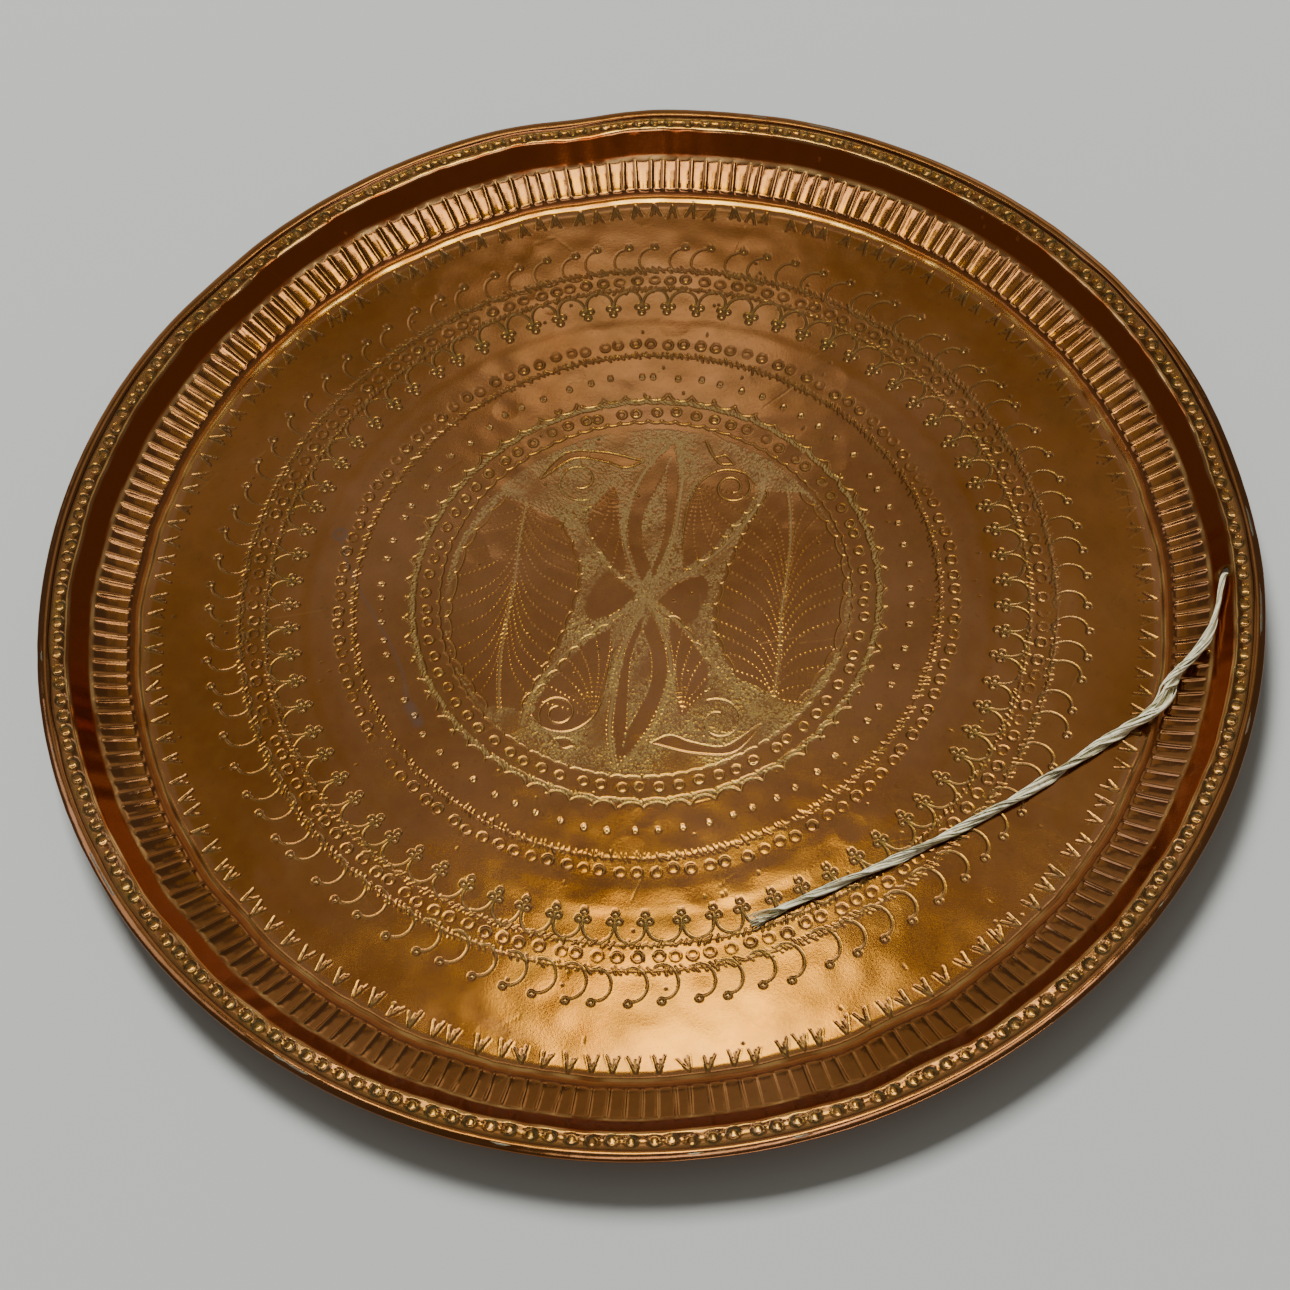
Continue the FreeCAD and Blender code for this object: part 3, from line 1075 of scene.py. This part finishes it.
# The string from its knot to its loose end, in metres.
CORD_ROUTE = [
    (0.2827, -0.0323, 0.0173), (0.2798, -0.0330, 0.0206), (0.2778, -0.0364, 0.0209),
    (0.2757, -0.0422, 0.0195), (0.2738, -0.0490, 0.0172), (0.2656, -0.0660, 0.0146),
    (0.2510, -0.0773, 0.0106), (0.2438, -0.0846, 0.0094), (0.2402, -0.0922, 0.0082),
    (0.2315, -0.0988, 0.0066), (0.2195, -0.1036, 0.0048), (0.2010, -0.1132, 0.0039),
    (0.1755, -0.1272, 0.0038), (0.1460, -0.1416, 0.0038), (0.1044, -0.1578, 0.0038),
    (0.0660, -0.1702, 0.0038), (0.0313, -0.1826, 0.0038),
]


def route_line():
    """Points along the NURBS route, in metres."""
    curve = bpy.data.curves.new("cord_route", "CURVE")
    curve.dimensions = "3D"
    curve.resolution_u = 24
    spline = curve.splines.new("NURBS")
    spline.points.add(len(CORD_ROUTE) - 1)
    for point, place in zip(spline.points, CORD_ROUTE):
        point.co = (*place, 1.0)
    spline.order_u = 3
    spline.use_endpoint_u = True
    holder = bpy.data.objects.new("cord_route", curve)
    line = bpy.data.meshes.new_from_object(holder)
    points = np.array([v.co[:] for v in line.vertices])
    bpy.data.objects.remove(holder)
    bpy.data.curves.remove(curve)
    bpy.data.meshes.remove(line)
    return points


def evenly(points, spacing):
    """The same line with even spacing."""
    pieces = np.linalg.norm(np.diff(points, axis=0), axis=1)
    along = np.concatenate([[0.0], np.cumsum(pieces)])
    at = np.linspace(0.0, along[-1], int(along[-1] / spacing) + 1)
    return np.stack([np.interp(at, along, points[:, k]) for k in range(3)], 1), at / along[-1]


def side_axes(points):
    """For each point of a line: its heading, a level sideways axis and an upward axis."""
    heading = np.gradient(points, axis=0)
    heading /= np.linalg.norm(heading, axis=1)[:, None]
    sideways = np.empty_like(points)
    last = np.cross([0.0, 0.0, 1.0], heading[0])
    for index, forward in enumerate(heading):
        last = last - forward * np.dot(last, forward)
        last /= np.linalg.norm(last)
        sideways[index] = last
    return heading, sideways, np.cross(heading, sideways)


def strand(points, width, thickness, roll, corners=6):
    """A flat ribbon-like fibre bundle along the points. Gives its points and faces."""
    _, sideways, upward = side_axes(points)
    cosine, sine = np.cos(roll)[:, None], np.sin(roll)[:, None]
    wide = sideways * cosine + upward * sine
    tall = upward * cosine - sideways * sine
    rings = []
    for corner in range(corners):
        angle = 2.0 * math.pi * corner / corners
        rings.append(points + wide * (math.cos(angle) * width / 2.0)[..., None]
                     + tall * (math.sin(angle) * thickness / 2.0)[..., None])
    rings = np.stack(rings, 1)
    count = len(points)
    grid = np.arange(count * corners).reshape(count, corners)
    after = np.roll(grid, -1, axis=1)
    quads = np.stack([grid[:-1], after[:-1], after[1:], grid[1:]], -1).reshape(-1, 4)
    caps = []
    for ring, order in ((grid[0], 1), (grid[-1], -1)):
        for corner in range(1, corners - 1):
            face = [ring[0], ring[corner + 1], ring[corner]]
            caps.append(face[::order])
    return rings.reshape(-1, 3), quads, np.array(caps)


def bundle(line, share, name, plies, profile, turns, loose):
    """Loosely twisted plies of flat fibres along a line, in metres, as one mesh.

    profile is the radius of the whole string along the line.
    """
    _, sideways, upward = side_axes(line)
    all_points, all_quads, all_caps, tones = [], [], [], []
    total = 0
    for number in range(plies * FIBRES_IN_PLY):
        ply, member = number % plies, number // plies
        wander = np.interp(share, np.linspace(0, 1, 22), rng.normal(0.0, 1.0, 22))
        twist = 2.0 * math.pi * (turns * share + ply / plies) + 0.25 * wander
        own = 2.0 * math.pi * (member / FIBRES_IN_PLY + 1.7 * turns * share) + 0.5 * wander
        ply_reach = profile * (0.42 if plies > 1 else 0.0)
        own_reach = profile * (0.42 if member else 0.1) * (1.0 + loose * wander * 0.3)
        own_reach = own_reach * (1.0 + 2.0 * loose * smooth(0.92, 1.0, share))
        across = np.cos(twist) * ply_reach * 1.15 + np.cos(own) * own_reach * 1.2
        above = np.sin(twist) * ply_reach * 0.8 + np.sin(own) * own_reach * 0.75
        centre = line + sideways * across[:, None] + upward * above[:, None]
        width = profile * rng.uniform(0.4, 0.62)
        last = int(len(line) * (1.0 - loose * rng.uniform(-0.012, 0.02)))
        points, quads, caps = strand(centre[:last], width[:last], profile[:last] * 0.2,
                                     own[:last] + math.pi / 2.0)
        all_points.append(points)
        all_quads.append(quads + total)
        all_caps.append(caps + total)
        tones.append(np.full(len(points), rng.uniform(0.0, 1.0)))
        total += len(points)
    mesh = mesh_from(name, np.vstack(all_points) / MM, np.vstack(all_quads), np.vstack(all_caps))
    store(mesh, "tone", np.concatenate(tones))
    return mesh


def build_cord():
    """The limp string: two loose plies of flat fibres on its route, thin at the frayed tip."""
    line, share = evenly(route_line(), CORD_STEP)
    profile = np.interp(share, *zip(*CORD_WIDTHS)) * (0.5 * CORD_DIAMETER * MM)
    mesh = bundle(line, share, "cord_string", 2, profile, 4.0, 1.0)
    return add_piece("cord_string", mesh, "hanging_cord"), line


def build_knot():
    """The stopper knot: the string thrown into an overhand knot behind the wall."""
    low, high = (np.array(corner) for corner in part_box("cord_knot"))
    centre = 0.5 * (low + high)
    start = np.array(CORD_ROUTE[0])
    axis = start - np.array(CORD_ROUTE[1])
    axis /= np.linalg.norm(axis)
    across = np.cross(axis, [0.0, 0.0, 1.0])
    across /= np.linalg.norm(across)
    third = np.cross(axis, across)
    t = np.linspace(0.0, 2.0 * math.pi, 160)
    knot = (centre + np.outer((np.sin(t) + 2.0 * np.sin(2.0 * t)) * KNOT_SIZE, across)
            + np.outer((np.cos(t) - 2.0 * np.cos(2.0 * t)) * KNOT_SIZE, third)
            + np.outer(-np.sin(3.0 * t) * KNOT_SIZE * 1.5, axis))
    profile = np.full(len(t), KNOT_STRING)
    mesh = bundle(knot, t / t[-1], "cord_stopper_knot", 1, profile, 3.0, 0.3)
    return add_piece("cord_stopper_knot", mesh, "cord_knot")


# ---- materials ----
class Shader:
    """A small writer of node trees."""

    def __init__(self, name):
        self.material = bpy.data.materials.new(name)
        self.material.use_nodes = True
        self.nodes = self.material.node_tree.nodes
        self.links = self.material.node_tree.links
        self.surface = self.nodes["Principled BSDF"]
        self.place = self.nodes.new("ShaderNodeTexCoord").outputs["Object"]

    def set(self, **values):
        for name, value in values.items():
            self.feed(self.surface.inputs[name.replace("_", " ")], value)

    def feed(self, socket, value):
        """Links a node's output, or sets a number or a colour of three shares."""
        if isinstance(value, bpy.types.NodeSocket):
            self.links.new(value, socket)
        else:
            socket.default_value = (*value, 1.0) if isinstance(value, tuple) else value

    def node(self, kind, output, *values):
        """One output of a new node whose first inputs are fed with the values."""
        node = self.nodes.new("ShaderNode" + kind)
        for socket, value in zip(node.inputs, values):
            self.feed(socket, value)
        return node.outputs[output]

    def attribute(self, name):
        """One of the numbers kept on the mesh."""
        output = self.node("Attribute", "Fac")
        output.node.attribute_name = name
        return output

    def noise(self, scale, detail, roughness):
        """Cloudy noise over the piece, with about that many clouds to a metre."""
        output = self.node("TexNoise", "Fac", self.place)
        for name, value in (("Scale", scale), ("Detail", detail), ("Roughness", roughness)):
            output.node.inputs[name].default_value = value
        return output

    def level(self, value, low, high, to_low=0.0, to_high=1.0):
        """The value with the range low to high spread over another range."""
        return self.node("MapRange", "Result", value, low, high, to_low, to_high)

    def math(self, operation, first, second):
        """Two numbers joined by an operation and kept between 0 and 1."""
        output = self.node("Math", 0, first, second)
        output.node.operation = operation
        output.node.use_clamp = True
        return output

    def times(self, first, second):
        """The product of two numbers."""
        return self.math("MULTIPLY", first, second)

    def mix(self, share, first, second):
        """The first colour with a share of the second over it."""
        node = self.nodes.new("ShaderNodeMix")
        node.data_type = "RGBA"
        for socket, value in zip((node.inputs[0], node.inputs[6], node.inputs[7]), (share, first, second)):
            self.feed(socket, value)
        return node.outputs[2]

    def bump(self, height, strength, distance):
        """A surface that looks rough by so much, in metres."""
        output = self.node("Bump", "Normal", strength, distance)
        self.links.new(height, output.node.inputs["Height"])
        return output


def copper():
    """Aged copper: brown-orange floor, maroon wall, dark green-brown recesses with painted shade in the
    groove, at the wall's foot and under the lip, burnished cut edges, painted highlights on crests and
    arrises.
    """
    s = Shader("aged_copper")
    cloudy = s.level(s.noise(7.0, 4.0, 0.6), 0.35, 0.68)
    blotchy = s.level(s.noise(38.0, 5.0, 0.62), 0.42, 0.7)
    mottled = s.level(s.noise(150.0, 4.0, 0.65), 0.4, 0.72)
    specks = s.level(s.noise(420.0, 3.0, 0.6), 0.62, 0.75)
    wall, soot, shine, matt = (s.attribute(name) for name in ("wall", "soot", "shine", "matt"))
    ridge, patina, stain = (s.attribute(name) for name in ("ridge", "patina", "stain"))
    green = s.times(s.level(patina, 0.03, 0.45), s.level(blotchy, 0.0, 1.0, 0.35, 0.9))
    darkening = s.times(s.level(soot, 0.05, 0.75), 0.92)
    dirt_and_shade = s.mix(mottled, (0.014, 0.009, 0.003), (0.050, 0.043, 0.016))
    colour = s.mix(cloudy, (0.192, 0.074, 0.024), (0.290, 0.132, 0.064))
    layers = [
        (s.times(blotchy, 0.5), (0.165, 0.077, 0.029)),      # brown clouds
        (s.times(mottled, 0.22), (0.310, 0.145, 0.048)),     # warmer mottling
        (wall, (0.300, 0.072, 0.015)),                       # maroon wall
        (s.times(matt, 0.9), (0.360, 0.270, 0.135)),         # pale stippled ground
        (s.times(specks, 0.3), (0.070, 0.040, 0.013)),       # dark specks
        (green, (0.170, 0.130, 0.038)),                      # olive halo round the marks
        (darkening, dirt_and_shade),                                       # dirt in the marks, and painted shade in the groove, at the wall's foot and under the lip
        (s.times(shine, 0.7), (0.60, 0.38, 0.17)),           # worn, bright cut edges, and painted highlights on the crests
        (s.times(ridge, 0.22), (0.40, 0.22, 0.085)),         # painted highlight on the arrises between the flutes
        (s.times(stain, 0.6), (0.150, 0.115, 0.115)),        # grey-blue streak
    ]
    for share, paint in layers:
        colour = s.mix(share, colour, paint)
    rough = s.level(blotchy, 0.0, 1.0, 0.12, 0.18)
    rough = s.math("ADD", rough, s.times(matt, 0.1))
    rough = s.math("ADD", rough, s.times(soot, 0.3))
    metal_share = s.math("SUBTRACT", 1.0, s.math("MAXIMUM", darkening, s.times(matt, 0.75)))
    grain = s.bump(s.noise(700.0, 3.0, 0.7), 0.12, 0.0002)
    s.set(Base_Color=colour, Metallic=metal_share, Roughness=rough, Normal=grain, Specular_IOR_Level=0.15)
    return s.material


def iron():
    """Dull drawn iron wire with rust freckles."""
    s = Shader("iron_wire")
    rust = s.level(s.noise(180.0, 4.0, 0.6), 0.5, 0.7)
    colour = s.mix(rust, (0.20, 0.19, 0.18), (0.22, 0.10, 0.05))
    s.set(Base_Color=colour, Metallic=0.9, Roughness=s.level(rust, 0.0, 1.0, 0.4, 0.75))
    return s.material


def string_fibre():
    """Pale split-fibre string, grubby in places."""
    s = Shader("string_fibre")
    tone = s.attribute("tone")
    darkening = s.level(s.noise(230.0, 4.0, 0.6), 0.52, 0.68)
    streak = s.noise(1500.0, 2.0, 0.5)
    colour = s.mix(tone, (0.42, 0.37, 0.17), (1.0, 0.95, 0.66))
    colour = s.mix(s.times(darkening, 0.7), colour, (0.19, 0.17, 0.07))
    s.set(Base_Color=colour, Roughness=0.6, Normal=s.bump(streak, 0.6, 0.0004))
    return s.material


def stage_grey():
    """The plain pale floor."""
    s = Shader("stage_grey")
    s.set(Base_Color=(0.505, 0.52, 0.495), Roughness=0.85)
    return s.material


def assign(piece, material):
    """Gives a piece its one material."""
    piece.data.materials.clear()
    piece.data.materials.append(material)


# ---- stage, lights and camera ----
STAGE_REACH = 6.0            # half the floor's side, in metres
STAGE_LEVEL = -0.0002


def add_floor():
    """The plain pale floor, just below the tray's underside."""
    mesh = bpy.data.meshes.new("stage_floor")
    signs = [(-1, -1), (1, -1), (1, 1), (-1, 1)]
    corners = [(x * STAGE_REACH, y * STAGE_REACH, STAGE_LEVEL) for x, y in signs]
    mesh.from_pydata(corners, [], [(0, 1, 2, 3)])
    floor = add_object("stage_floor", mesh)
    assign(floor, stage_grey())
    return floor


def add_softbox(name, place, aim, size, radiance, colour, lit):
    """An area light at a place, in metres, that faces a point and falls on one group of pieces."""
    aim = aim or (place[0], place[1], 0.0)
    light = bpy.data.lights.new(name, "AREA")
    light.shape = "RECTANGLE"
    light.size, light.size_y = size
    light.energy = radiance * math.pi * size[0] * size[1]
    light.color = colour
    lamp = add_object(name, light)
    lamp.location = Vector(place)
    lamp.rotation_euler = (Vector(place) - Vector(aim)).to_track_quat("Z", "Y").to_euler()
    lamp.light_linking.receiver_collection = lit


def lit_group(name, pieces):
    """A group of pieces that some of the lights fall on alone."""
    group = bpy.data.collections.new(name)
    for piece in pieces:
        group.objects.link(piece)
    return group


MIDDLE = (0.0, 0.0, 0.0)
DOWN = None                  # a lamp that faces straight down
WHITE = (1.0, 1.0, 1.0)

# Name, place and aim in metres, size in metres, radiance and colour of every softbox.
STAGE_LIGHTS = [
    ("stage_key", (-1.4, 5.4, 8.4), MIDDLE, (3.2, 3.2), 45.0, WHITE),
    ("stage_sky", (1.2, -2.0, 4.0), DOWN, (8.0, 8.0), 0.08, WHITE),
]
METAL_LIGHTS = [
    ("far_wall", (0.0, 3.2, 1.3), MIDDLE, (6.0, 2.0), 0.4, (1.0, 0.9, 0.5)),
    ("far_low", (0.0, 3.1, 0.5), (0.0, 0.0, 0.5), (6.0, 0.8), 0.35, (1.0, 0.8, 0.5)),
    ("near_low", (0.0, -2.9, 0.55), (0.0, 0.0, 0.55), (5.0, 1.1), 0.9, (1.0, 0.75, 0.5)),
    ("near_top", (0.3, -0.5, 1.6), MIDDLE, (1.6, 0.25), 4.5, (1.0, 0.97, 0.9)),
    ("far_window", (1.6, 2.8, 1.4), MIDDLE, (1.3, 0.9), 0.8, (1.0, 1.0, 0.8)),
    ("ceiling_wash", (0.0, 1.4, 2.1), DOWN, (1.8, 1.6), 0.4, (1.0, 0.8, 0.2)),
    ("ceiling_patch", (0.0, 1.2, 2.05), DOWN, (1.0, 0.8), 0.3, (0.2, 0.45, 1.0)),
    ("far_panel", (0.03, 1.58, 1.9), MIDDLE, (0.4, 0.26), 1.7, (0.95, 1.0, 0.9)),
    ("ceiling_lamp", (0.005, 0.355, 1.5), DOWN, (0.3, 0.21), 15.0, (1.0, 0.94, 0.12)),
    ("flute_lamp", (0.0, 0.16, 1.5), DOWN, (1.1, 0.2), 10.0, (1.0, 0.97, 0.65)),
    ("left_room", (-1.9, 0.6, 2.4), MIDDLE, (1.2, 1.2), 2.0, (0.9, 0.95, 1.0)),
    ("low_window", (1.2, -3.0, 0.4), MIDDLE, (3.0, 0.5), 9.0, (1.0, 0.97, 0.97)),
]


def add_world(colour, strength):
    """The studio's even light."""
    world = bpy.data.worlds.new("studio")
    world.use_nodes = True
    background = world.node_tree.nodes["Background"]
    background.inputs["Color"].default_value = (*colour, 1.0)
    background.inputs["Strength"].default_value = strength
    bpy.context.scene.world = world


CAMERA_BACK = 2.2404         # distances in outer radii of the tray, from the middle of its rim
CAMERA_UP = 3.5812
CAMERA_PAN, CAMERA_TILT, CAMERA_ROLL = -0.31, 59.56, -6.36
CAMERA_LENS = 72.1


def add_camera():
    """The camera above the near side, which looks down at the tray."""
    data = bpy.data.cameras.new("camera")
    data.sensor_width = 36.0
    data.lens = CAMERA_LENS
    camera = add_object("camera", data)
    pan, tilt, roll = (math.radians(v) for v in (CAMERA_PAN, CAMERA_TILT, CAMERA_ROLL))
    forward = Vector((math.sin(pan) * math.cos(tilt), math.cos(pan) * math.cos(tilt), -math.sin(tilt)))
    level = Vector((math.cos(pan), -math.sin(pan), 0.0))
    upright = level.cross(forward)
    right = level * math.cos(roll) + upright * math.sin(roll)
    up = upright * math.cos(roll) - level * math.sin(roll)
    turn = Matrix((right, up, -forward)).transposed().to_4x4()
    place = Vector((0.0, -CAMERA_BACK * RIM, BEAD_HEIGHT + CAMERA_UP * RIM)) * MM
    camera.matrix_world = Matrix.Translation(place) @ turn
    data.clip_start, data.clip_end = 0.01, 50.0
    bpy.context.scene.camera = camera


# ---- put together ----
round_facts = shared_round_facts()
tray = build_tray(round_facts)
assign(tray, copper())
wire = build_rim_wire(round_facts)
assign(wire, iron())
cord, cord_line = build_cord()
knot = build_knot()
fibre = string_fibre()
assign(cord, fibre)
assign(knot, fibre)
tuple(CORD_ROUTE[0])
[tuple(p) for p in cord_line]

floor = add_floor()
add_world((1.0, 0.95, 0.86), 0.19)
metal = lit_group("lit_metal", [tray, wire])
around_it = lit_group("lit_stage", [floor, cord, knot])
for lamp in STAGE_LIGHTS:
    add_softbox(*lamp, around_it)
for lamp in METAL_LIGHTS:
    add_softbox(*lamp, metal)
add_camera()
